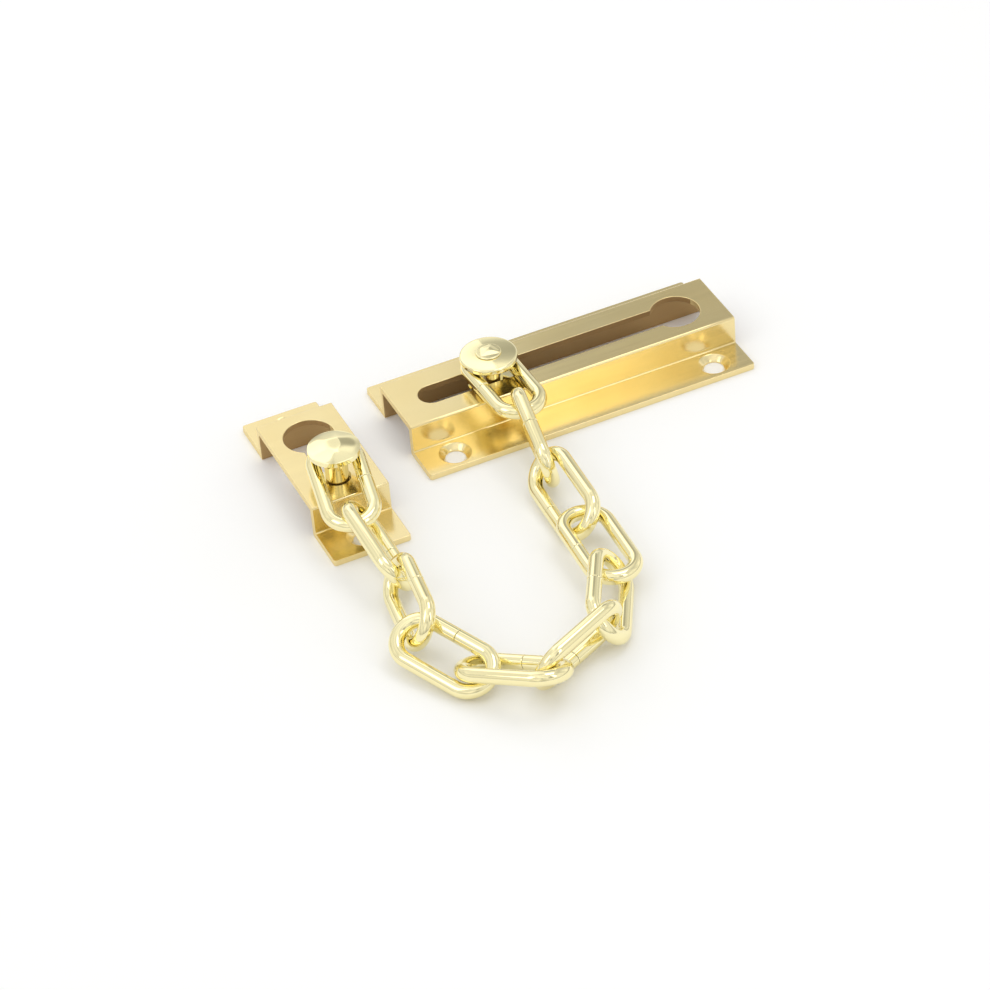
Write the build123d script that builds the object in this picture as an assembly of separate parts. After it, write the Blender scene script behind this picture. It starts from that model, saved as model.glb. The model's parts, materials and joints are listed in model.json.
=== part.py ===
from build123d import *
import math
import os

# Door chain: a slide plate with a keyhole slot, a chain of wire links, and a keeper plate.
# Millimetres, +Z up, away from the door. The origin is the centre of the slide plate's four
# screw holes, on the plane both plates are screwed to. +X runs along the slot to its round end.

# Sheet of both plates
SHEET = 1.5
PLATE_HEIGHT = 8.5
FOLD_OUTSIDE = 0.5
FOLD_INSIDE = 0.3
CORNER_RADIUS = 0.6

# Slide plate
SLIDE_LENGTH = 80.0
SLIDE_WIDTH = 36.0
SLIDE_TOP_WIDTH = 17.5
SLOT_WIDTH = 6.4
SLOT_END_MARGIN = 5.8
ROUND_END_DIAMETER = 11.4
ROUND_END_MARGIN = 5.0

# Keeper plate
KEEPER_WIDTH = 18.0
KEEPER_LENGTH = 53.5
KEEPER_TOP_LENGTH = 32.5
KEEPER_SLOT_WIDTH = 6.0
KEEPER_SLOT_MARGIN = 4.4
KEEPER_HOLE_DIAMETER = 11.4
KEEPER_HOLE_MARGIN = 3.2

# Screw holes
SCREW_HOLE_DIAMETER = 4.5
COUNTERSINK_DIAMETER = 7.3
COUNTERSINK_LAND = 0.3
SCREW_END_MARGIN = 8.0

# Studs
NECK_PLAY = 0.4
FOOT_THICKNESS = 1.5
FOOT_SIDE_PLAY = 0.5
FOOT_TOP_PLAY = 0.3
SLIDER_HEAD_DIAMETER = 13.0
SLIDER_HEAD_THICKNESS = 1.9
SLIDER_HEAD_DOME = 0.5
SLIDER_HEAD_EDGE = 0.5
SLIDER_THROAT = 4.3
SLIDER_REST = 14.2
RIVET_DIAMETER = 3.6
PEEN_DIAMETER = 5.0
PEEN_HEIGHT = 0.6
PEEN_SEAT = 0.5
KEEPER_HEAD_DIAMETER = 11.5
KEEPER_HEAD_RIM = 1.1
KEEPER_HEAD_DOME = 1.1
KEEPER_THROAT = 7.1

# Links
WIRE = 3.3
LINK_LENGTH = 26.2
LINK_ROOM = 3.3
LINK_PLAY = 0.2
SEAM_GAP = 0.1
SEAM_CHAMFER = 0.25
LAST_LINK_DROOP = 0.4
TENTH_LINK_LIFT = 0.5

# How each link lies, first to last: heading from +X and roll about its own length, in degrees,
# then how far its end stands past touching inside the link before it, to the left of that
# link's end, and above the level at which the two hook together.
LINK_LAY = [
    (-87.5, -2, 0.0, 0.0, 0.0),
    (-98, -78, 0.1, -0.1, 0.8),
    (-91, 50, 1.4, -0.1, 0.3),
    (-92.5, -3, 1.2, 0.1, 0.2),
    (-118.5, -53, 1.7, -0.4, -0.1),
    (-156.5, 72, 1.0, 0.6, 1.1),
    (131, 22, 1.4, 0.1, 2.3),
    (117.5, -22, 3.2, 1.5, 0.2),
    (82, -64, 2.2, -1.2, 1.4),
    (92.5, 54, 0.4, -0.3, -0.5),
    (80.5, -2, 0.8, 1.0, -0.4),
]

OVERCUT = 1.0

UNDER_TOP = PLATE_HEIGHT - SHEET
FOOT_TOP = UNDER_TOP - FOOT_TOP_PLAY

LINK_WIDTH = 3 * WIRE + LINK_ROOM
LINK_REACH = LINK_LENGTH - WIRE
LINK_BEND = (LINK_WIDTH - WIRE) / 2

SLOT_CLOSED_X = SLOT_END_MARGIN + SLOT_WIDTH / 2 - SLIDE_LENGTH / 2
ROUND_END_X = SLIDE_LENGTH / 2 - ROUND_END_MARGIN - ROUND_END_DIAMETER / 2
SLIDER_X = SLOT_CLOSED_X + SLIDER_REST
SLIDER_NECK = SLOT_WIDTH - 2 * NECK_PLAY
SLIDER_FOOT = ROUND_END_DIAMETER - 2 * FOOT_SIDE_PLAY
SLIDER_UNDERSIDE = PLATE_HEIGHT + SLIDER_THROAT
SLIDER_CROWN = SLIDER_UNDERSIDE + SLIDER_HEAD_THICKNESS

KEEPER_STUD_Y = KEEPER_SLOT_MARGIN + KEEPER_SLOT_WIDTH / 2 - KEEPER_TOP_LENGTH / 2
KEEPER_HOLE_Y = KEEPER_TOP_LENGTH / 2 - KEEPER_HOLE_MARGIN - KEEPER_HOLE_DIAMETER / 2
KEEPER_NECK = KEEPER_SLOT_WIDTH - 2 * NECK_PLAY
KEEPER_FOOT = KEEPER_HOLE_DIAMETER - 2 * FOOT_SIDE_PLAY
KEEPER_UNDERSIDE = PLATE_HEIGHT + KEEPER_THROAT

SLIDE_SCREW_X = SLIDE_LENGTH / 2 - SCREW_END_MARGIN
SLIDE_SCREW_Y = (SLIDE_WIDTH + SLIDE_TOP_WIDTH) / 4
KEEPER_SCREW_Y = (KEEPER_LENGTH + KEEPER_TOP_LENGTH) / 4


def level_direction(heading):
    return Vector(math.cos(math.radians(heading)), math.sin(math.radians(heading)), 0)


# Plates

def hat_section(width, top_width):
    """Cross-section of a folded plate: two flanges on z = 0 and a raised top."""
    inner = top_width / 2 - SHEET
    right = [
        (top_width / 2, PLATE_HEIGHT),
        (top_width / 2, SHEET),
        (width / 2, SHEET),
        (width / 2, 0),
        (inner, 0),
        (inner, UNDER_TOP),
    ]
    left = [(-y, z) for y, z in reversed(right)]
    face = make_face(Polyline(*right, *left, close=True))
    outside = [(top_width / 2, PLATE_HEIGHT), (inner, 0)]
    inside = [(top_width / 2, SHEET), (inner, UNDER_TOP)]
    face = fillet(corners_at(face, outside), FOLD_OUTSIDE)
    return fillet(corners_at(face, inside), FOLD_INSIDE)


def corners_at(face, places):
    """The corners of a section at the given places and their mirror images."""
    return [
        v
        for v in face.vertices()
        for y, z in places
        if math.isclose(abs(v.X), y, abs_tol=1e-6) and math.isclose(v.Y, z, abs_tol=1e-6)
    ]


def folded_plate(width, top_width, length):
    """A hat section drawn out along X, with its flange corners rounded."""
    plate = extrude(Plane.YZ * hat_section(width, top_width), amount=length / 2, both=True)
    corners = plate.edges().filter_by(Axis.Z).filter_by(
        lambda edge: math.isclose(abs(edge.center().Y), width / 2, abs_tol=1e-6)
    )
    return fillet(corners, CORNER_RADIUS)


def keyhole(slot_width, hole_diameter, span):
    """Cutter for a raised top: a round hole at the origin and a slot running along -X."""
    outline = Circle(hole_diameter / 2)
    outline += Pos(-span / 2, 0) * Rectangle(span, slot_width)
    outline += Pos(-span, 0) * Circle(slot_width / 2)
    depth = SHEET + 2 * OVERCUT
    return Pos(0, 0, UNDER_TOP - OVERCUT) * extrude(outline, amount=depth)


def screw_hole():
    """Cutter for a countersunk hole in a flange standing on z = 0."""
    depth = SHEET - COUNTERSINK_LAND
    spread = (COUNTERSINK_DIAMETER - SCREW_HOLE_DIAMETER) / 2 / depth
    mouth = COUNTERSINK_DIAMETER / 2 + spread * OVERCUT
    profile = Polyline(
        (0, -OVERCUT),
        (SCREW_HOLE_DIAMETER / 2, -OVERCUT),
        (SCREW_HOLE_DIAMETER / 2, COUNTERSINK_LAND),
        (mouth, SHEET + OVERCUT),
        (0, SHEET + OVERCUT),
        close=True,
    )
    return revolve(Plane.XZ * make_face(profile), axis=Axis.Z)


def make_slide_plate():
    plate = folded_plate(SLIDE_WIDTH, SLIDE_TOP_WIDTH, SLIDE_LENGTH)
    slot = keyhole(SLOT_WIDTH, ROUND_END_DIAMETER, ROUND_END_X - SLOT_CLOSED_X)
    plate -= Pos(ROUND_END_X, 0, 0) * slot
    for x in (-SLIDE_SCREW_X, SLIDE_SCREW_X):
        for y in (-SLIDE_SCREW_Y, SLIDE_SCREW_Y):
            plate -= Pos(x, y, 0) * screw_hole()
    return plate


def make_keeper_plate():
    """The keeper about its own centre, with its keyhole running along Y."""
    plate = folded_plate(KEEPER_LENGTH, KEEPER_TOP_LENGTH, KEEPER_WIDTH)
    slot = keyhole(KEEPER_SLOT_WIDTH, KEEPER_HOLE_DIAMETER, KEEPER_HOLE_Y - KEEPER_STUD_Y)
    plate -= Pos(0, KEEPER_HOLE_Y, 0) * Rot(0, 0, 90) * slot
    for y in (-KEEPER_SCREW_Y, KEEPER_SCREW_Y):
        plate -= Pos(0, y, 0) * screw_hole()
    return plate


# Studs

def turned(sides, edge, rise):
    """A turned piece: its sides, from the top of its axis round to an edge, closed by a dome."""
    radius, z = edge
    ball = (radius**2 + rise**2) / (2 * rise)
    half = math.asin(radius / ball) / 2
    middle = (ball * math.sin(half), z + rise - ball + ball * math.cos(half))
    dome = ThreePointArc(edge, middle, (0, z + rise))
    outline = Polyline((0, z + rise), *sides, edge) + dome
    return revolve(Plane.XZ * make_face(outline), axis=Axis.Z)


def stem(neck, foot, underside):
    """Sides of a stud up to its head: a foot beneath the raised top and a neck through the slot."""
    foot_bottom = FOOT_TOP - FOOT_THICKNESS
    return [
        (0, foot_bottom),
        (foot / 2, foot_bottom),
        (foot / 2, FOOT_TOP),
        (neck / 2, FOOT_TOP),
        (neck / 2, underside),
    ]


def rivet_sides():
    """Sides of the slider pin's end: a tenon, flared into the head's seat."""
    return [(RIVET_DIAMETER / 2, SLIDER_UNDERSIDE), (RIVET_DIAMETER / 2, SLIDER_CROWN - PEEN_SEAT)]


def make_slider_pin():
    sides = stem(SLIDER_NECK, SLIDER_FOOT, SLIDER_UNDERSIDE) + rivet_sides()
    return turned(sides, (PEEN_DIAMETER / 2, SLIDER_CROWN), PEEN_HEIGHT)


def make_slider_button():
    """The slider's head: a low domed disc, bored and flared in the middle for the rivet end."""
    radius = SLIDER_HEAD_DIAMETER / 2
    sides = [(0, SLIDER_UNDERSIDE), (radius, SLIDER_UNDERSIDE)]
    head = turned(sides, (radius, SLIDER_CROWN - SLIDER_HEAD_DOME), SLIDER_HEAD_DOME)
    head = fillet(head.edges().filter_by(GeomType.CIRCLE), SLIDER_HEAD_EDGE)
    rivet = [(0, SLIDER_UNDERSIDE)] + rivet_sides()
    return head - turned(rivet, (PEEN_DIAMETER / 2, SLIDER_CROWN), PEEN_HEIGHT)


def make_keeper_stud():
    radius = KEEPER_HEAD_DIAMETER / 2
    sides = stem(KEEPER_NECK, KEEPER_FOOT, KEEPER_UNDERSIDE) + [(radius, KEEPER_UNDERSIDE)]
    return turned(sides, (radius, KEEPER_UNDERSIDE + KEEPER_HEAD_RIM), KEEPER_HEAD_DOME)


# Chain

def make_link():
    """A bent wire link. Its first bend's apex is at the origin and its length runs along +X."""
    run = LINK_REACH - 2 * LINK_BEND
    bend = revolve(Plane.XZ * Pos(LINK_BEND, 0) * Circle(WIRE / 2), axis=Axis.Z, revolution_arc=180)
    side = extrude(Plane.YZ * Circle(WIRE / 2), amount=run)
    half = extrude(Plane.YZ * Circle(WIRE / 2), amount=(run - SEAM_GAP) / 2)
    half = chamfer(half.faces().sort_by(Axis.X)[-1].edges(), SEAM_CHAMFER)
    link = Pos(LINK_BEND, 0, 0) * Rot(0, 0, 90) * bend
    link += Pos(LINK_REACH - LINK_BEND, 0, 0) * Rot(0, 0, -90) * bend
    link += Pos(LINK_BEND, LINK_BEND, 0) * side
    link += Pos(LINK_BEND, -LINK_BEND, 0) * half
    link += Pos(LINK_REACH - LINK_BEND, -LINK_BEND, 0) * Rot(0, 0, 180) * half
    return link


def standing_height(roll):
    """Height of a link's middle line when the link stands on the table at this roll."""
    return WIRE / 2 + LINK_BEND * abs(math.sin(math.radians(roll)))


def joint_heights():
    """Heights of the link ends, from the slider's neck to the keeper stud's neck."""
    heights = [SLIDER_UNDERSIDE - 2 * LINK_PLAY - WIRE / 2, PLATE_HEIGHT + LINK_PLAY + WIRE / 2]
    for before, after in zip(LINK_LAY[1:-2], LINK_LAY[2:-1]):
        heights.append(max(standing_height(before[1]), standing_height(after[1])))
    heights[-1] += TENTH_LINK_LIFT
    heights.append(PLATE_HEIGHT + WIRE / 2 - LAST_LINK_DROOP)
    heights.append(KEEPER_UNDERSIDE - 2 * LINK_PLAY - WIRE / 2)
    return heights


def flatness(roll):
    return math.cos(math.radians(roll)) ** 2


def lay_links():
    """A plane for each link: origin at its first bend, x along it, y across it."""
    heights = joint_heights()
    up = Vector(0, 0, 1)
    first_heading = LINK_LAY[0][0]
    start = Vector(SLIDER_X, 0, 0) - level_direction(first_heading) * neck_reach(SLIDER_NECK)
    planes = []
    for index, (heading, roll, slack, shift, rise) in enumerate(LINK_LAY):
        forward = level_direction(heading)
        if planes:
            before_heading, before_roll = LINK_LAY[index - 1][:2]
            pull = level_direction(before_heading) * flatness(before_roll) + forward * flatness(roll)
            pull = pull.normalized()
            start = link_end(planes[-1]) - pull * (WIRE + LINK_PLAY + slack) + up.cross(pull) * shift
        origin = Vector(start.X, start.Y, heights[index] + rise)
        pitch = math.asin((heights[index + 1] - origin.Z) / LINK_REACH)
        along = forward * math.cos(pitch) + up * math.sin(pitch)
        side = level_direction(heading + 90)
        turn = math.radians(roll)
        across = side * math.cos(turn) + along.cross(side) * math.sin(turn)
        planes.append(Plane(origin=origin, x_dir=along, z_dir=along.cross(across)))
    return planes


def link_end(plane):
    return plane.origin + plane.x_dir * LINK_REACH


def neck_reach(neck):
    """Distance from a stud's axis to the middle of the wire hooked round its neck."""
    return neck / 2 + LINK_PLAY + WIRE / 2


LINK_PLANES = lay_links()
LAST_HEADING = LINK_LAY[-1][0]
KEEPER_STUD_AT = link_end(LINK_PLANES[-1]) - level_direction(LAST_HEADING) * neck_reach(KEEPER_NECK)
KEEPER_STUD_PLACE = Pos(KEEPER_STUD_AT.X, KEEPER_STUD_AT.Y, 0)
KEEPER_PLACE = Pos(KEEPER_STUD_AT.X, KEEPER_STUD_AT.Y - KEEPER_STUD_Y, 0)
SLIDER_PLACE = Pos(SLIDER_X, 0, 0)

nodes = {
    "slide_plate": make_slide_plate(),
    "slider_pin": SLIDER_PLACE * make_slider_pin(),
    "slider_button": SLIDER_PLACE * make_slider_button(),
    "keeper_plate": KEEPER_PLACE * make_keeper_plate(),
    "keeper_stud": KEEPER_STUD_PLACE * make_keeper_stud(),
}
link = make_link()
for number, plane in enumerate(LINK_PLANES, start=1):
    nodes[f"link_{number:02d}"] = plane.location * link

os.makedirs("parts", exist_ok=True)
for name, shape in nodes.items():
    shape.label = name
    export_step(shape, f"parts/{name}.step")
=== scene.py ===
import json
import math
import random

import bmesh
import bpy
import numpy as np
from mathutils import Euler, Matrix, Vector


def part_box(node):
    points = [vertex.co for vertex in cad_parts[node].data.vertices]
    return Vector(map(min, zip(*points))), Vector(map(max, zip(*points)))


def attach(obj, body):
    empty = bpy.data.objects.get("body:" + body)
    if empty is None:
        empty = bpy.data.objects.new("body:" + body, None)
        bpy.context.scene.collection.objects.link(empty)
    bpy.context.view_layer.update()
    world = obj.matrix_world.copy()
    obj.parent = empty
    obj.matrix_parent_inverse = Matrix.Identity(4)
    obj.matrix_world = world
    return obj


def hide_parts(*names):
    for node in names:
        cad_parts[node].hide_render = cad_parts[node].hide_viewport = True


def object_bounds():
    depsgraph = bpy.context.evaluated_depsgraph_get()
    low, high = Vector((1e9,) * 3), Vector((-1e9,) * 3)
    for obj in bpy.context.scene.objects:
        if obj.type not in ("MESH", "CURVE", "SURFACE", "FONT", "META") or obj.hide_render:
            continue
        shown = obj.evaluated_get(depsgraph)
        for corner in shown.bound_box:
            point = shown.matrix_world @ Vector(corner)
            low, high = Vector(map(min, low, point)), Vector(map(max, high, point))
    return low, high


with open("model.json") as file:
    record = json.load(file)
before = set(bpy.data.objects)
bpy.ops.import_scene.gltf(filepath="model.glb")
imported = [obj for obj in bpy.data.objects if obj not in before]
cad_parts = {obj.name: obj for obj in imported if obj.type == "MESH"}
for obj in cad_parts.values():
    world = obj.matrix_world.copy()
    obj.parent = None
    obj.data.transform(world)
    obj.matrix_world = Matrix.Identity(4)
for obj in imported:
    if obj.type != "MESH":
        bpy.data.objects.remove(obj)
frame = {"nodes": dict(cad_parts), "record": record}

bl_info = {
    "name": "Brass door chain",
    "version": (1, 0, 0),
    "blender": (4, 5, 0),
    "location": "View3D > Sidebar > Door chain",
    "description": "A door chain's folded plates, riveted studs and wire links, in a white studio",
    "category": "Object",
}

CAD_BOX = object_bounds()
MM = 0.001
MERGE = 0.001 * MM
PLATES = ("slide_plate", "keeper_plate")
LINKS = sorted(name for name in frame["nodes"] if name.startswith("link_"))


def linear(code):
    """An sRGB hex colour as linear red, green and blue."""
    parts = [int(code[i:i + 2], 16) / 255 for i in (0, 2, 4)]
    return [c / 12.92 if c <= 0.04045 else ((c + 0.055) / 1.055) ** 2.4 for c in parts]


def length(name, description, default):
    """A property for a size, given in millimetres and kept in metres."""
    return bpy.props.FloatProperty(
        name=name, description=description, default=default * MM, unit="LENGTH", precision=5
    )


def colour(name, description, code):
    """A property for a colour, given as sRGB hex."""
    return bpy.props.FloatVectorProperty(
        name=name, description=description, default=linear(code), size=3, subtype="COLOR"
    )


def steps(name, description, default):
    """A property for a number of faces or steps."""
    return bpy.props.IntProperty(name=name, description=description, default=default, min=3)


class BrassFinish(bpy.types.PropertyGroup):
    plate: colour("Plate brass", "Colour of the polished plates", "F8E8B4")
    plate_deep: colour("Plate brass, deep", "Warmer tone that drifts along the plates", "F1DA9C")
    plating: colour("Plating", "Colour of the bright plating on links and studs", "FDF5C6")
    plating_deep: colour("Plating, deep", "Yellower tone that drifts over the plating", "FAECB3")
    # Painted shade: a darker brown for the plates' inside, standing for the shade in the channel.
    dull: colour("Inside, painted shade", "Darker colour painted on the plates' inside as shade in the channel", "C2A576")
    draw_width: length("Drawing line width", "Width of the lines along the strip", 0.35)
    draw_length: length("Drawing line length", "Length of the lines along the strip", 25.0)
    drift: length("Tone drift", "Size of the slow change of tone in the brass", 18.0)
    sheet: length("Sheet", "Thickness of the brass strip", 1.5)
    edge: length("Edge break", "Width of the break along the plates' cut edges", 0.12)
    ripple: length("Plating ripple", "Size of the faint ripple in the plated surface", 1.6)


class LinkShape(bpy.types.PropertyGroup):
    seam: length("Seam", "Gap of the butt seam where the bent wire closes", 0.06)
    seam_chamfer: length("Seam chamfer", "Bevel of the wire's cut ends at the seam", 0.15)
    around: steps("Sides", "Faces around the wire", 40)
    per_bend: steps("Bend steps", "Steps in each quarter bend", 16)


class StudShape(bpy.types.PropertyGroup):
    foot_thickness: length("Foot", "Thickness of the foot under the plate", 1.5)
    slider_neck: length("Slider neck", "Diameter of the slider's neck", 5.6)
    slider_rivet: length("Rivet", "Diameter of the slider pin's tenon", 3.6)
    slider_seat: length("Rivet seat", "Depth of the flare that the rivet end fills", 0.5)
    slider_peen: length("Rivet end", "Diameter of the hammered rivet end", 5.8)
    slider_peen_edge: length("Rivet end edge", "Rounding of the rivet end's side", 0.3)
    slider_peen_rise: length("Rivet end rise", "Rise of the rivet end before it is hammered", 0.39)
    slider_edge: length("Head edge", "Rounding of the slider head's edges", 0.5)
    slider_dome: length("Head dome", "Rise of the slider head's dome", 0.5)
    slider_thickness: length("Head thickness", "Thickness of the slider's head in its middle", 1.9)
    keeper_neck: length("Keeper neck", "Diameter of the keeper stud's neck", 5.2)
    keeper_rim: length("Keeper rim", "Height of the keeper head's straight rim", 1.1)
    keeper_dome: length("Keeper dome", "Rise of the keeper head's dome", 1.1)
    turns: steps("Turned steps", "Steps round a turned piece", 144)


class StudioSetup(bpy.types.PropertyGroup):
    camera_place: bpy.props.FloatVectorProperty(
        name="Camera", description="Where the camera stands", subtype="TRANSLATION", unit="LENGTH",
        default=(-0.25344, -0.60022, 0.50263),
    )
    camera_turn: bpy.props.FloatVectorProperty(
        name="Camera turn", description="How the camera is turned", subtype="EULER",
        unit="ROTATION", default=[math.radians(a) for a in (50.534, 4.099, -24.760)],
    )
    lens: bpy.props.FloatProperty(
        name="Lens", description="Focal length in mm on a 36 mm sensor", default=132.68,
        unit="CAMERA",
    )
    floor: colour("Floor", "Colour of the table", "FEFEFD")


class DoorChain(bpy.types.PropertyGroup):
    brass: bpy.props.PointerProperty(
        type=BrassFinish, name="Brass", description="Colours and grain of the brass"
    )
    link: bpy.props.PointerProperty(
        type=LinkShape, name="Links", description="Shape of the wire links"
    )
    stud: bpy.props.PointerProperty(
        type=StudShape, name="Studs", description="Shape of the slider and the keeper's stud"
    )
    studio: bpy.props.PointerProperty(
        type=StudioSetup, name="Studio", description="Camera and table"
    )


def settings():
    return bpy.context.scene.door_chain


# Nodes

def add_node(tree, kind, inputs=None, **options):
    """Adds a node with its options, and sets each input to a value or links it to a socket."""
    made = tree.nodes.new(kind)
    for name, value in options.items():
        setattr(made, name, value)
    for key, given in (inputs or {}).items():
        if isinstance(given, bpy.types.NodeSocket):
            tree.links.new(given, made.inputs[key])
        else:
            made.inputs[key].default_value = given
    return made


def empty_tree(holder):
    """The node tree of a new material or world, with nothing in it."""
    holder.use_nodes = True
    holder.node_tree.nodes.clear()
    return holder.node_tree


# Finishes

# The sockets of a colour Mix node, by number, because its other types share their names.
FACTOR, FIRST, SECOND, MIXED = 0, 6, 7, 2
# A noise texture keeps mostly between these values.
NOISE_RANGE = {"From Min": 0.3, "From Max": 0.7}

# Marks on a plate's faces: its inside in the channel, which is rougher and painted a darker brown
# as painted shade, and what shears and punches cut.
INSIDE = "inside"
SHEARED = "sheared"
ROUGHER_INSIDE = 0.35
ROUGHER_SHEARED = 0.35

DRAWN_ROUGHNESS = {"To Min": 0.14, "To Max": 0.24}
DRAWN_RELIEF = {"Strength": 0.15, "Distance": 0.01 * MM}
PLATED_ROUGHNESS = {"To Min": 0.05, "To Max": 0.10}
PLATED_RELIEF = {"Strength": 0.25, "Distance": 0.02 * MM}


def polished_drawn_brass():
    """Brass strip, drawn through a die and polished outside: lines along its length blur the mirror
    a little, its sheared ends and pierced slots are rougher, and its inside is rougher and painted
    a darker brown as painted shade for the channel."""
    brass = settings().brass
    material = bpy.data.materials.new("Polished drawn brass")
    tree = empty_tree(material)
    place = add_node(tree, "ShaderNodeTexCoord").outputs["Object"]
    inside = add_node(tree, "ShaderNodeAttribute", attribute_name=INSIDE).outputs["Fac"]
    sheared = add_node(tree, "ShaderNodeAttribute", attribute_name=SHEARED).outputs["Fac"]

    # Real drawing lines are too fine to show, so these are drawn coarser.
    line = (1 / brass.draw_length, 1 / brass.draw_width, 1 / brass.draw_width)
    along = add_node(tree, "ShaderNodeMapping", {"Vector": place, "Scale": line}).outputs[0]
    lines = {"Vector": along, "Scale": 1.0, "Detail": 4.0, "Roughness": 0.6}
    grain = add_node(tree, "ShaderNodeTexNoise", lines).outputs[0]
    clouds = {"Vector": place, "Scale": 1 / brass.drift, "Detail": 2.0}
    drift = add_node(tree, "ShaderNodeTexNoise", clouds).outputs[0]

    tones = {FACTOR: drift, FIRST: (*brass.plate, 1), SECOND: (*brass.plate_deep, 1)}
    polished = add_node(tree, "ShaderNodeMix", tones, data_type="RGBA").outputs[MIXED]
    # Painted shade: the faces inside the channel take a darker brown that stands for the shade
    # there.
    tones = {FACTOR: inside, FIRST: polished, SECOND: (*brass.dull, 1)}
    toned = add_node(tree, "ShaderNodeMix", tones, data_type="RGBA").outputs[MIXED]
    spread = {"Value": grain, **NOISE_RANGE, **DRAWN_ROUGHNESS}
    rough = add_node(tree, "ShaderNodeMapRange", spread).outputs[0]
    for mark, rougher in ((inside, ROUGHER_INSIDE), (sheared, ROUGHER_SHEARED)):
        terms = {0: mark, 1: rougher, 2: rough}
        rough = add_node(tree, "ShaderNodeMath", terms, operation="MULTIPLY_ADD").outputs[0]
    relief = add_node(tree, "ShaderNodeBump", {"Height": grain, **DRAWN_RELIEF}).outputs[0]
    metal = {"Metallic": 1.0, "Base Color": toned, "Roughness": rough, "Normal": relief}
    shader = add_node(tree, "ShaderNodeBsdfPrincipled", metal)
    add_node(tree, "ShaderNodeOutputMaterial", {"Surface": shader.outputs["BSDF"]})
    return material


def bright_brass_plating():
    """Bright brass plating on bent wire and turned studs: a near mirror with a faint ripple and a
    paler, lemon tone."""
    brass = settings().brass
    material = bpy.data.materials.new("Bright brass plating")
    tree = empty_tree(material)
    place = add_node(tree, "ShaderNodeTexCoord").outputs["Object"]
    clouds = {"Vector": place, "Scale": 1 / brass.drift, "Detail": 3.0}
    drift = add_node(tree, "ShaderNodeTexNoise", clouds).outputs[0]
    waves = {"Vector": place, "Scale": 1 / brass.ripple, "Detail": 2.0}
    ripple = add_node(tree, "ShaderNodeTexNoise", waves).outputs[0]
    tones = {FACTOR: drift, FIRST: (*brass.plating, 1), SECOND: (*brass.plating_deep, 1)}
    toned = add_node(tree, "ShaderNodeMix", tones, data_type="RGBA").outputs[MIXED]
    spread = {"Value": ripple, **NOISE_RANGE, **PLATED_ROUGHNESS}
    rough = add_node(tree, "ShaderNodeMapRange", spread).outputs[0]
    relief = add_node(tree, "ShaderNodeBump", {"Height": ripple, **PLATED_RELIEF}).outputs[0]
    metal = {"Metallic": 1.0, "Base Color": toned, "Roughness": rough, "Normal": relief}
    shader = add_node(tree, "ShaderNodeBsdfPrincipled", metal)
    add_node(tree, "ShaderNodeOutputMaterial", {"Surface": shader.outputs["BSDF"]})
    return material


def matt_white_paper():
    """Matt white paper on the table: no gloss, so that it only keeps the shadows of the chain."""
    material = bpy.data.materials.new("Matt white paper")
    tree = empty_tree(material)
    shader = add_node(tree, "ShaderNodeBsdfDiffuse", {"Color": (*settings().studio.floor, 1)})
    add_node(tree, "ShaderNodeOutputMaterial", {"Surface": shader.outputs["BSDF"]})
    return material


def finish(make):
    """The material that a function makes, made once."""
    for material in bpy.data.materials:
        if material.get("made_by") == make.__name__:
            return material
    material = make()
    material["made_by"] = make.__name__
    return material


# Pieces

SHARP = math.radians(30)


def body_of(node):
    for body, members in frame["record"]["behaviour"]["bodies"].items():
        if node in members:
            return body
    raise RuntimeError(f"no body carries {node}")


def add_piece(name, mesh, node, material):
    """Puts a mesh in place of a CAD node, on that node's body."""
    mesh.materials.clear()
    mesh.materials.append(material)
    piece = bpy.data.objects.new(name, mesh)
    bpy.context.scene.collection.objects.link(piece)
    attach(piece, body_of(node))
    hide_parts(node)


def crisp(mesh):
    """Smooth shading that breaks at sharp edges."""
    mesh.shade_smooth()
    mesh.set_sharp_from_angle(angle=SHARP)


def points_of(mesh):
    """A mesh's vertices as rows of x, y and z."""
    points = np.empty(len(mesh.vertices) * 3)
    mesh.vertices.foreach_get("co", points)
    return points.reshape(-1, 3)


def taken_mesh(carrier):
    """The finished mesh of a carrier object, which is then removed."""
    bpy.context.view_layer.update()
    evaluated = carrier.evaluated_get(bpy.context.evaluated_depsgraph_get())
    mesh = bpy.data.meshes.new_from_object(evaluated)
    bpy.data.objects.remove(carrier)
    return mesh


# Plates

COPLANAR = math.radians(0.5)
CUT_EDGE = math.radians(35)
EDGE_SEGMENTS = 2
WIDE_FACE = 0.6 * MM

# Lines through each plate's holes: the axis that they cross, and where, as a share of its box.
HOLE_LINES = {
    "slide_plate": ((0, 0.1), (0, 0.9), (1, 0.5)),
    "keeper_plate": ((0, 0.5),),
}

# How far a face's normal leans: into the channel, off upright, and along the strip.
LEANS_IN = 0.2
STANDS_UP = 0.3
FACES_END = 0.7


def line_through(work, low, high, axis, share):
    """Splits a plate's faces along a line through its holes, so that no flat face has a hole."""
    place, across = low.lerp(high, share), Vector()
    across[axis] = 1
    everything = work.verts[:] + work.edges[:] + work.faces[:]
    split = bmesh.ops.bisect_plane(
        work, geom=everything, dist=MERGE, plane_co=place, plane_no=across
    )
    for part in split["geom_cut"]:
        if isinstance(part, bmesh.types.BMEdge):
            part.seam = True


def joined_mesh(node):
    """A copy of a plate's CAD mesh with its triangles joined to flat faces."""
    work = bmesh.new()
    work.from_mesh(frame["nodes"][node].data)
    bmesh.ops.remove_doubles(work, verts=work.verts, dist=MERGE)
    low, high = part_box(node)
    for axis, share in HOLE_LINES[node]:
        line_through(work, low, high, axis, share)
    bmesh.ops.dissolve_limit(
        work, angle_limit=COPLANAR, verts=work.verts, edges=work.edges, delimit={"SEAM"}
    )
    work.verts.index_update()
    places = [v.co.copy() for v in work.verts]
    faces = [[v.index for v in face.verts] for face in work.faces]
    work.free()
    mesh = bpy.data.meshes.new(node)
    mesh.from_pydata(places, [], faces)
    mesh.shade_smooth()
    return mesh


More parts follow.
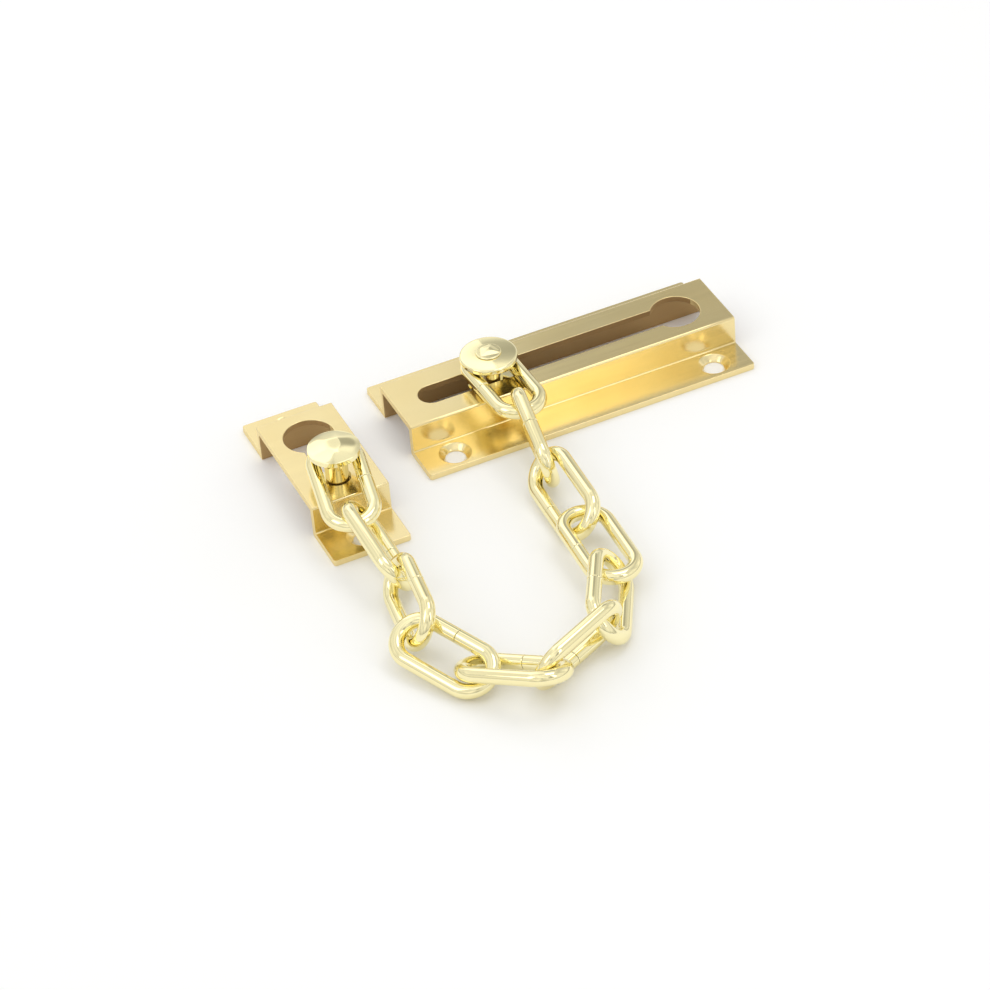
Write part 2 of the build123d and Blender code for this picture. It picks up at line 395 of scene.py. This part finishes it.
def plate_mesh(node):
    """A plate's mesh with its cut edges broken, so that they catch the light."""
    carrier = bpy.data.objects.new(node, joined_mesh(node))
    bpy.context.scene.collection.objects.link(carrier)
    broken = carrier.modifiers.new("Broken edges", "BEVEL")
    broken.width = settings().brass.edge
    broken.segments = EDGE_SEGMENTS
    broken.limit_method = "ANGLE"
    broken.angle_limit = CUT_EDGE
    broken.use_clamp_overlap = False
    mesh = taken_mesh(carrier)
    keep_flats_flat(mesh)
    mark_faces(mesh)
    return mesh


def keep_flats_flat(mesh):
    """Gives each wide flat face its own normal, into which the narrow faces beside it blend."""
    places = [v.co for v in mesh.vertices]
    wide, beside = set(), {}
    for face in mesh.polygons:
        ring = list(face.vertices)
        around = sum((places[a] - places[b]).length for a, b in zip(ring, ring[1:] + ring[:1]))
        if 2 * face.area / around > WIDE_FACE:
            wide.add(face.index)
            for corner in ring:
                beside.setdefault(corner, []).append(face.normal.copy())
    normals = [v.normal.copy() for v in mesh.vertices]
    turned = [None] * len(mesh.loops)
    for face in mesh.polygons:
        for loop, corner in zip(face.loop_indices, face.vertices):
            if face.index in wide:
                turned[loop] = face.normal.copy()
            elif corner in beside:
                turned[loop] = max(beside[corner], key=face.normal.dot)
            else:
                turned[loop] = normals[corner]
    mesh.normals_split_custom_set(turned)


def mark_faces(mesh):
    """Marks the faces in the channel under a plate, and those that shears and punches cut."""
    sheet = settings().brass.sheet
    points = points_of(mesh)
    top = points[:, 2].max()
    raised = points[points[:, 2] > top - MERGE, 1]
    low, high = raised.min() - sheet, raised.max() + sheet
    channel = Vector((0, (low + high) / 2, top / 2))
    inside = mesh.attributes.new(INSIDE, "FLOAT", "FACE")
    sheared = mesh.attributes.new(SHEARED, "FLOAT", "FACE")
    for face in mesh.polygons:
        middle, normal = face.center, face.normal
        towards = channel - middle
        towards.x = 0
        under = low < middle.y < high and middle.z < top - sheet / 2
        # Faces inside the channel get a rougher finish and the painted shade colour.
        inside.data[face.index].value = float(
            under and normal.dot(towards.normalized()) > LEANS_IN
        )
        pierced = middle.z > top - sheet and low + 2 * sheet < middle.y < high - 2 * sheet
        sheared.data[face.index].value = float(
            abs(normal.z) < STANDS_UP and (pierced or abs(normal.x) > FACES_END)
        )


class DOORCHAIN_OT_plates(bpy.types.Operator):
    """Finishes the slide plate and the keeper plate in polished drawn brass"""

    bl_idname = "door_chain.plates"
    bl_label = "Finish plates"

    def execute(self, context):
        material = finish(polished_drawn_brass)
        for node in PLATES:
            add_piece(f"{node}_finished", plate_mesh(node), node, material)
        return {"FINISHED"}


# Links

# The wire's path round a link, from one side of its seam to the other.
LINK_PATH = (
    ("cut", "front"), ("shoulder", "front"), ("right", "front"), ("right", "back"),
    ("left", "back"), ("left", "front"), ("far shoulder", "front"), ("far cut", "front"),
)

# Sizes worked out in the link's node tree, each from its inputs or from sizes before it.
LINK_SIZES = {
    "radius": ("DIVIDE", "Wire", 2.0),
    "half length": ("DIVIDE", "Length", 2.0),
    "half width": ("DIVIDE", "Width", 2.0),
    "right": ("SUBTRACT", "half length", "radius"),
    "back": ("SUBTRACT", "half width", "radius"),
    "left": ("MULTIPLY", "right", -1.0),
    "front": ("MULTIPLY", "back", -1.0),
    "cut": ("DIVIDE", "Seam", 2.0),
    "shoulder": ("ADD", "cut", "Seam chamfer"),
    "far cut": ("MULTIPLY", "cut", -1.0),
    "far shoulder": ("MULTIPLY", "shoulder", -1.0),
    "to last": ("SUBTRACT", len(LINK_PATH) - 1.0, "index"),
    "from end": ("MINIMUM", "index", "to last"),
    "is end": ("LESS_THAN", "from end", 0.5),
    "is bend": ("GREATER_THAN", "from end", 1.5),
    "bend": ("MULTIPLY", "is bend", "back"),
    "cut radius": ("SUBTRACT", "radius", "Seam chamfer"),
    "cut share": ("DIVIDE", "cut radius", "radius"),
    "loss": ("SUBTRACT", 1.0, "cut share"),
    "narrowing": ("MULTIPLY", "is end", "loss"),
    "thickness": ("SUBTRACT", 1.0, "narrowing"),
}


def link_lie(node):
    """How a CAD link lies: a matrix to its middle, with x along it and its seam towards -y, and
    its length, width and wire."""
    mesh = frame["nodes"][node].data
    mesh.calc_loop_triangles()
    points = points_of(mesh)
    corners = np.empty(len(mesh.loop_triangles) * 3, dtype=int)
    mesh.loop_triangles.foreach_get("vertices", corners)
    triangles = points[corners.reshape(-1, 3)]
    sides = triangles[:, 1] - triangles[:, 0], triangles[:, 2] - triangles[:, 0]
    weight = np.linalg.norm(np.cross(*sides), axis=1)
    middles = triangles.mean(axis=1)
    centre = np.average(middles, axis=0, weights=weight)
    spread = (middles - centre).T @ ((middles - centre) * weight[:, None])
    thin, across, along = np.linalg.eigh(spread)[1].T
    local = (points - centre) @ np.stack([along, across, thin]).T
    size = np.ptp(local, axis=0)
    wire = size[2]
    at_seam = np.abs(local[:, 0]) < wire / 4
    if local[at_seam, 1].mean() > 0:
        across, local[:, 1] = -across, -local[:, 1]
    thin = np.cross(along, across)
    off_centre = ((local.max(0) + local.min(0)) / 2)[:2]
    middle = centre + np.stack([along, across], axis=1) @ off_centre
    lie = Matrix.Identity(4)
    for column, direction in enumerate((along, across, thin, middle)):
        for row in range(3):
            lie[row][column] = direction[row]
    return lie, [float(s) for s in size]


def wire_link_tree():
    """A bent wire link from its sizes: a path round the link from seam to seam, with round wire
    along it that narrows at its cut ends."""
    tree = bpy.data.node_groups.new("Wire link", "GeometryNodeTree")
    face = tree.interface
    for name in ("Length", "Width", "Wire", "Seam", "Seam chamfer"):
        socket = face.new_socket(name, in_out="INPUT", socket_type="NodeSocketFloat")
        socket.subtype = "DISTANCE"
    for name in ("Sides", "Bend steps"):
        face.new_socket(name, in_out="INPUT", socket_type="NodeSocketInt")
    face.new_socket("Finish", in_out="INPUT", socket_type="NodeSocketMaterial")
    face.new_socket("Link", in_out="OUTPUT", socket_type="NodeSocketGeometry")
    sizes = {socket.name: socket for socket in add_node(tree, "NodeGroupInput").outputs}
    sizes["index"] = add_node(tree, "GeometryNodeInputIndex").outputs[0]
    for name, (operation, *terms) in LINK_SIZES.items():
        inputs = {number: sizes.get(term, term) for number, term in enumerate(terms)}
        sizes[name] = add_node(tree, "ShaderNodeMath", inputs, operation=operation).outputs[0]

    start = add_node(tree, "GeometryNodeCurvePrimitiveLine").outputs[0]
    points = {"Curve": start, "Count": len(LINK_PATH)}
    line = add_node(tree, "GeometryNodeResampleCurve", points).outputs[0]
    place = add_node(tree, "GeometryNodeIndexSwitch", data_type="VECTOR")
    while len(place.index_switch_items) < len(LINK_PATH):
        place.index_switch_items.new()
    tree.links.new(sizes["index"], place.inputs["Index"])
    for number, (x, y) in enumerate(LINK_PATH, start=1):
        point = add_node(tree, "ShaderNodeCombineXYZ", {"X": sizes[x], "Y": sizes[y]})
        tree.links.new(point.outputs[0], place.inputs[number])
    laid = {"Geometry": line, "Position": place.outputs[0]}
    path = add_node(tree, "GeometryNodeSetPosition", laid).outputs[0]
    narrowed = {"Curve": path, "Radius": sizes["thickness"]}
    path = add_node(tree, "GeometryNodeSetCurveRadius", narrowed).outputs[0]
    bends = {
        "Curve": path, "Radius": sizes["bend"], "Count": sizes["Bend steps"], "Limit Radius": True,
    }
    path = add_node(tree, "GeometryNodeFilletCurve", bends, mode="POLY").outputs[0]
    circle = {"Resolution": sizes["Sides"], "Radius": sizes["radius"]}
    ring = add_node(tree, "GeometryNodeCurvePrimitiveCircle", circle).outputs[0]
    scale = add_node(tree, "GeometryNodeInputRadius").outputs[0]
    sweep = {"Curve": path, "Profile Curve": ring, "Scale": scale, "Fill Caps": True}
    wire = add_node(tree, "GeometryNodeCurveToMesh", sweep).outputs[0]
    whole = add_node(tree, "GeometryNodeRealizeInstances", {"Geometry": wire}).outputs[0]
    plated = {"Geometry": whole, "Material": sizes["Finish"]}
    dressed = add_node(tree, "GeometryNodeSetMaterial", plated).outputs[0]
    add_node(tree, "NodeGroupOutput", {"Link": dressed})
    return tree


def wire_link_mesh(tree, name, size, material):
    """The mesh of one link, in its own frame."""
    shape = settings().link
    carrier = bpy.data.objects.new(name, bpy.data.meshes.new(name))
    bpy.context.scene.collection.objects.link(carrier)
    modifier = carrier.modifiers.new("Wire link", "NODES")
    modifier.node_group = tree
    inputs = dict(zip(("Length", "Width", "Wire"), size))
    inputs |= {"Seam": shape.seam, "Seam chamfer": shape.seam_chamfer}
    inputs |= {"Sides": shape.around, "Bend steps": shape.per_bend, "Finish": material}
    for socket in tree.interface.items_tree:
        if socket.in_out == "INPUT":
            modifier[socket.identifier] = inputs[socket.name]
    return taken_mesh(carrier)


class DOORCHAIN_OT_links(bpy.types.Operator):
    """Bends the wire links of the chain, each where its own body lies"""

    bl_idname = "door_chain.links"
    bl_label = "Bend links"

    def execute(self, context):
        tree = wire_link_tree()
        material = finish(bright_brass_plating)
        for node in LINKS:
            lie, size = link_lie(node)
            mesh = wire_link_mesh(tree, node, size, material)
            mesh.transform(lie)
            crisp(mesh)
            add_piece(f"{node}_wire", mesh, node, material)
        return {"FINISHED"}


# Studs

DOME_STEPS = 40
PEEN_STEPS = 24
PEEN_EDGE_STEPS = 6
PEEN_EDGE_TURN = 70
EDGE_STEPS = 8
# Keeps the head's dome clear of its rounded edge.
EDGE_ROOM = 1.05

# Hammer blows: how many, how deep as shares of the dome's rise, and the seed of their places.
RIVET_BLOWS = {"blows": 5, "bite": (0.2, 0.7), "seed": 3}
KEEPER_BLOWS = {"blows": 9, "bite": (0.06, 0.16), "seed": 11}
# As shares: distance from the middle, stray along the ring, softness, and reach of the hammer.
BLOW_AWAY = (0.45, 0.8)
BLOW_STRAY = 0.25
BLOW_BLUR = 0.05
BLOW_REACH = 0.995


def arc(centre, radius, start, end, count):
    """Points of an arc in the plane of radius and height; angles in degrees from straight out."""
    angles = [math.radians(start + (end - start) * i / count) for i in range(count + 1)]
    return [(centre[0] + radius * math.cos(a), centre[1] + radius * math.sin(a)) for a in angles]


def ball_of(radius, rise):
    """Radius of the ball that a dome is cut from."""
    return (radius**2 + rise**2) / (2 * rise)


def dome(radius, foot, rise, count):
    """Points from a dome's edge in to its crown."""
    ball = ball_of(radius, rise)
    low = math.degrees(math.acos(radius / ball))
    return arc((0, foot + rise - ball), ball, low, 90, count)


def turned_mesh(name, profile, centre, count):
    """A profile of radius and height turned round an upright axis."""
    work = bmesh.new()
    turns = [2 * math.pi * i / count for i in range(count)]
    rings = []
    for radius, height in profile:
        if radius < MERGE:
            rings.append([work.verts.new((centre.x, centre.y, height))] * count)
            continue
        spots = [(centre.x + radius * math.cos(a), centre.y + radius * math.sin(a)) for a in turns]
        rings.append([work.verts.new((x, y, height)) for x, y in spots])
    for lower, upper in zip(rings, rings[1:]):
        for i in range(count):
            j = (i + 1) % count
            corners = dict.fromkeys((lower[i], lower[j], upper[j], upper[i]))
            if len(corners) > 2:
                work.faces.new(corners)
    bmesh.ops.recalc_face_normals(work, faces=work.faces)
    mesh = bpy.data.meshes.new(name)
    work.to_mesh(mesh)
    work.free()
    return mesh


def hammer(mesh, centre, radius, base, rise, blows, bite, seed):
    """Flattens a dome with hammer blows, the first in its middle and the rest in a ring round it.
    Each bites a share off its rise, to a plane at its own tilt."""
    draw = random.Random(seed)
    ball = ball_of(radius, rise)
    planes = []
    for number in range(blows):
        away = 0.0 if number == 0 else draw.uniform(*BLOW_AWAY) * radius
        stray = draw.uniform(-BLOW_STRAY, BLOW_STRAY)
        turn = 2 * math.pi * (number + stray) / max(blows - 1, 1)
        spot = Vector((away * math.cos(turn), away * math.sin(turn)))
        up = math.sqrt(ball**2 - away**2)
        depth = draw.uniform(*bite) * rise
        planes.append((spot, base + rise - ball + up - depth, -spot / up))
    soft = BLOW_BLUR * rise
    for vertex in mesh.vertices:
        flat = Vector((vertex.co.x - centre.x, vertex.co.y - centre.y))
        if flat.length >= radius * BLOW_REACH or vertex.co.z <= base:
            continue
        cuts = [height + slope.dot(flat - spot) for spot, height, slope in planes]
        cuts.insert(0, vertex.co.z)
        lowest = min(cuts)
        blended = soft * math.log(sum(math.exp((lowest - cut) / soft) for cut in cuts))
        vertex.co.z = max(base, lowest - blended)


def middle_of(node):
    low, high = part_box(node)
    return (low + high) / 2


def foot_radius(node, height, centre):
    """Radius of a stud's foot, from its CAD node's lowest ring."""
    ring = [v.co for v in frame["nodes"][node].data.vertices if v.co.z < height + MERGE]
    return max(math.hypot(p.x - centre.x, p.y - centre.y) for p in ring)


def slider_crown():
    """Height of the slider head's crown, on which the rivet end sits."""
    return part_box("slider_button")[0].z + settings().stud.slider_thickness


def slider_pin_mesh():
    """The slider's foot, neck and tenon, with the hammered rivet end."""
    shape = settings().stud
    low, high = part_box("slider_pin")
    centre = middle_of("slider_pin")
    head_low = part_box("slider_button")[0].z
    crown = slider_crown()
    foot, foot_top = (high.x - low.x) / 2, low.z + shape.foot_thickness
    neck, tenon, end = shape.slider_neck / 2, shape.slider_rivet / 2, shape.slider_peen / 2
    profile = [
        (0, low.z), (foot, low.z), (foot, foot_top), (neck, foot_top), (neck, head_low),
        (tenon, head_low), (tenon, crown - shape.slider_seat),
    ]
    edge = shape.slider_peen_edge
    profile += arc((end - edge, crown), edge, 0, PEEN_EDGE_TURN, PEEN_EDGE_STEPS)
    struck, base = profile.pop()
    profile += dome(struck, base, shape.slider_peen_rise, PEEN_STEPS)
    mesh = turned_mesh("slider_pin", profile, centre, shape.turns)
    hammer(mesh, centre, struck, base, shape.slider_peen_rise, **RIVET_BLOWS)
    return mesh


def slider_button_mesh():
    """The slider's domed head, with a hole that flares out under the rivet end."""
    shape = settings().stud
    low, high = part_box("slider_button")
    crown = slider_crown()
    radius, edge = (high.x - low.x) / 2, shape.slider_edge
    tenon, end = shape.slider_rivet / 2, shape.slider_peen / 2
    inner = radius - edge
    rim = crown - shape.slider_dome
    ball = ball_of(radius, shape.slider_dome)
    ball_z = rim + shape.slider_dome - ball
    corner_z = ball_z + math.sqrt((ball - edge) ** 2 - inner**2)
    slope = math.degrees(math.acos(inner / (ball - edge)))
    top = dome(radius, rim, shape.slider_dome, DOME_STEPS)
    profile = [(tenon, low.z), (inner, low.z)]
    profile += arc((inner, low.z + edge), edge, -90, 0, EDGE_STEPS)
    profile += arc((inner, corner_z), edge, 0, slope, EDGE_STEPS)
    profile += [spot for spot in top if end <= spot[0] < radius - edge * EDGE_ROOM]
    profile += [(end, ball_z + math.sqrt(ball**2 - end**2))]
    profile += [(tenon, crown - shape.slider_seat), (tenon, low.z)]
    return turned_mesh("slider_button", profile, middle_of("slider_pin"), shape.turns)


def keeper_stud_mesh():
    """The keeper's stud in one piece: foot, neck and hammered head."""
    shape = settings().stud
    low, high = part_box("keeper_stud")
    centre = middle_of("keeper_stud")
    foot = foot_radius("keeper_stud", low.z, centre)
    foot_top = low.z + shape.foot_thickness
    neck, radius = shape.keeper_neck / 2, (high.x - low.x) / 2
    rim_top = high.z - shape.keeper_dome
    rim = rim_top - shape.keeper_rim
    profile = [
        (0, low.z), (foot, low.z), (foot, foot_top), (neck, foot_top), (neck, rim), (radius, rim),
    ]
    profile += dome(radius, rim_top, shape.keeper_dome, DOME_STEPS)
    mesh = turned_mesh("keeper_stud", profile, centre, shape.turns)
    hammer(mesh, centre, radius, rim_top, shape.keeper_dome, **KEEPER_BLOWS)
    return mesh


class DOORCHAIN_OT_studs(bpy.types.Operator):
    """Turns the slider's pin and head and the keeper's stud, with their hammered ends"""

    bl_idname = "door_chain.studs"
    bl_label = "Turn studs"

    def execute(self, context):
        material = finish(bright_brass_plating)
        meshes = {
            "slider_pin": slider_pin_mesh(),
            "slider_button": slider_button_mesh(),
            "keeper_stud": keeper_stud_mesh(),
        }
        for node, mesh in meshes.items():
            crisp(mesh)
            add_piece(f"{node}_turned", mesh, node, material)
        return {"FINISHED"}


# Studio

TABLE_REACH = 4.0
SENSOR_WIDTH = 36.0
CLIP_RANGE = (0.01, 20.0)

# The tent's brightness by the height of the direction, the noise of its folds, and the openings
# in its sides, each an angle in degrees round a direction.
TENT = ((0.0, 0.56), (0.08, 0.64), (0.2, 0.84), (0.6, 0.84), (1.0, 0.94))
FOLDS = {"Scale": 2.2, "Detail": 1.0}
FOLD_LEVELS = {"To Min": 0.74, "To Max": 1.24}
GAPS = (
    {"towards": (0.38, 0.72, 0.58), "inner": 7.0, "outer": 15.0, "dims": 0.45},
    {"towards": (0.27, -0.73, 0.63), "inner": 6.0, "outer": 15.0, "dims": 0.50},
    {"towards": (-0.31, -0.73, 0.61), "inner": 2.0, "outer": 6.0, "dims": 0.60},
)

# Each soft box's middle, the place it faces, its sides, and the brightness of its face.
LAMPS = {
    "Overhead": ((0.22, -0.06, 0.72), (0.0, -0.03, 0.0), (0.30, 0.30), 1.5),
    "Left": ((-0.50, -0.10, 0.50), (-0.03, -0.04, 0.0), (0.25, 0.35), 1.1),
    "Back": ((-0.018, 0.33, 0.33), (-0.05, -0.02, 0.0), (0.27, 0.36), 0.46),
    "Front": ((0.118, -0.32, 0.26), (0.0, -0.02, 0.0), (0.085, 0.2), 1.3),
}


def light_tent():
    """A white light tent with soft folds, darker near the horizon and at its openings."""
    world = bpy.data.worlds.new("White light tent")
    tree = empty_tree(world)
    direction = add_node(tree, "ShaderNodeTexCoord").outputs["Generated"]
    height = add_node(tree, "ShaderNodeSeparateXYZ", {0: direction}).outputs["Z"]
    ramp = add_node(tree, "ShaderNodeValToRGB", {0: height})
    stops = ramp.color_ramp.elements
    while len(stops) < len(TENT):
        stops.new(1.0)
    for stop, (place, value) in zip(stops, TENT):
        stop.position = place
        stop.color = (value, value, value, 1)
    folds = add_node(tree, "ShaderNodeTexNoise", {"Vector": direction, **FOLDS}).outputs[0]
    levels = {"Value": folds, **NOISE_RANGE, **FOLD_LEVELS}
    strength = add_node(tree, "ShaderNodeMapRange", levels).outputs[0]
    for gap in GAPS:
        pair = {0: direction, 1: Vector(gap["towards"]).normalized()}
        near = add_node(tree, "ShaderNodeVectorMath", pair, operation="DOT_PRODUCT")
        dims = {
            "Value": near.outputs["Value"],
            "From Min": math.cos(math.radians(gap["outer"])),
            "From Max": math.cos(math.radians(gap["inner"])),
            "To Min": 1.0,
            "To Max": 1.0 - gap["dims"],
        }
        kept = add_node(tree, "ShaderNodeMapRange", dims, interpolation_type="SMOOTHSTEP")
        product = {0: strength, 1: kept.outputs[0]}
        strength = add_node(tree, "ShaderNodeMath", product, operation="MULTIPLY").outputs[0]
    light = {"Color": ramp.outputs[0], "Strength": strength}
    sky = add_node(tree, "ShaderNodeBackground", light).outputs[0]
    add_node(tree, "ShaderNodeOutputWorld", {"Surface": sky})
    return world


def add_table():
    """A wide table under the part."""
    reach, height = TABLE_REACH, CAD_BOX[0].z
    corners = ((-reach, -reach), (reach, -reach), (reach, reach), (-reach, reach))
    mesh = bpy.data.meshes.new("table")
    mesh.from_pydata([(x, y, height) for x, y in corners], [], [(0, 1, 2, 3)])
    mesh.materials.append(matt_white_paper())
    table = bpy.data.objects.new("table", mesh)
    bpy.context.scene.collection.objects.link(table)


def add_lamp(name, place, aim, sides, glow):
    """A soft box with a given brightness of its face."""
    lamp = bpy.data.lights.new(name, "AREA")
    lamp.shape = "RECTANGLE"
    lamp.size, lamp.size_y = sides
    lamp.energy = glow * math.pi * sides[0] * sides[1]
    holder = bpy.data.objects.new(name, lamp)
    holder.location = place
    holder.rotation_euler = (Vector(aim) - Vector(place)).to_track_quat("-Z", "Y").to_euler()
    bpy.context.scene.collection.objects.link(holder)


def add_camera():
    """The camera at the photograph's viewing angle."""
    studio = settings().studio
    view = bpy.data.cameras.new("Camera")
    view.lens = studio.lens
    view.sensor_width = SENSOR_WIDTH
    view.clip_start, view.clip_end = CLIP_RANGE
    holder = bpy.data.objects.new("Camera", view)
    holder.location = studio.camera_place
    holder.rotation_euler = Euler(studio.camera_turn)
    bpy.context.scene.collection.objects.link(holder)
    bpy.context.scene.camera = holder


class DOORCHAIN_OT_studio(bpy.types.Operator):
    """Lays the white table, hangs the lamps and sets the camera"""

    bl_idname = "door_chain.studio"
    bl_label = "Set up studio"

    def execute(self, context):
        add_table()
        context.scene.world = light_tent()
        for name, lamp in LAMPS.items():
            add_lamp(name, *lamp)
        add_camera()
        context.scene.view_settings.view_transform = "Standard"
        return {"FINISHED"}


# Add-on

OPERATORS = (DOORCHAIN_OT_plates, DOORCHAIN_OT_links, DOORCHAIN_OT_studs, DOORCHAIN_OT_studio)


class DOORCHAIN_PT_panel(bpy.types.Panel):
    """Lists the sizes and colours, and a button for each group of pieces"""

    bl_idname = "DOORCHAIN_PT_panel"
    bl_label = "Door chain"
    bl_space_type = "VIEW_3D"
    bl_region_type = "UI"
    bl_category = "Door chain"

    def draw(self, context):
        chain = context.scene.door_chain
        for group in (chain.brass, chain.link, chain.stud, chain.studio):
            box = self.layout.box()
            for name in group.bl_rna.properties.keys():
                if name not in ("rna_type", "name"):
                    box.prop(group, name)
        for operator in OPERATORS:
            self.layout.operator(operator.bl_idname)


CLASSES = (
    BrassFinish, LinkShape, StudShape, StudioSetup, DoorChain, *OPERATORS, DOORCHAIN_PT_panel,
)


def register():
    for cls in CLASSES:
        bpy.utils.register_class(cls)
    bpy.types.Scene.door_chain = bpy.props.PointerProperty(type=DoorChain)


def unregister():
    del bpy.types.Scene.door_chain
    for cls in reversed(CLASSES):
        bpy.utils.unregister_class(cls)


def main():
    register()
    bpy.ops.door_chain.plates()
    bpy.ops.door_chain.links()
    bpy.ops.door_chain.studs()
    bpy.ops.door_chain.studio()


if __name__ == "__main__":
    main()
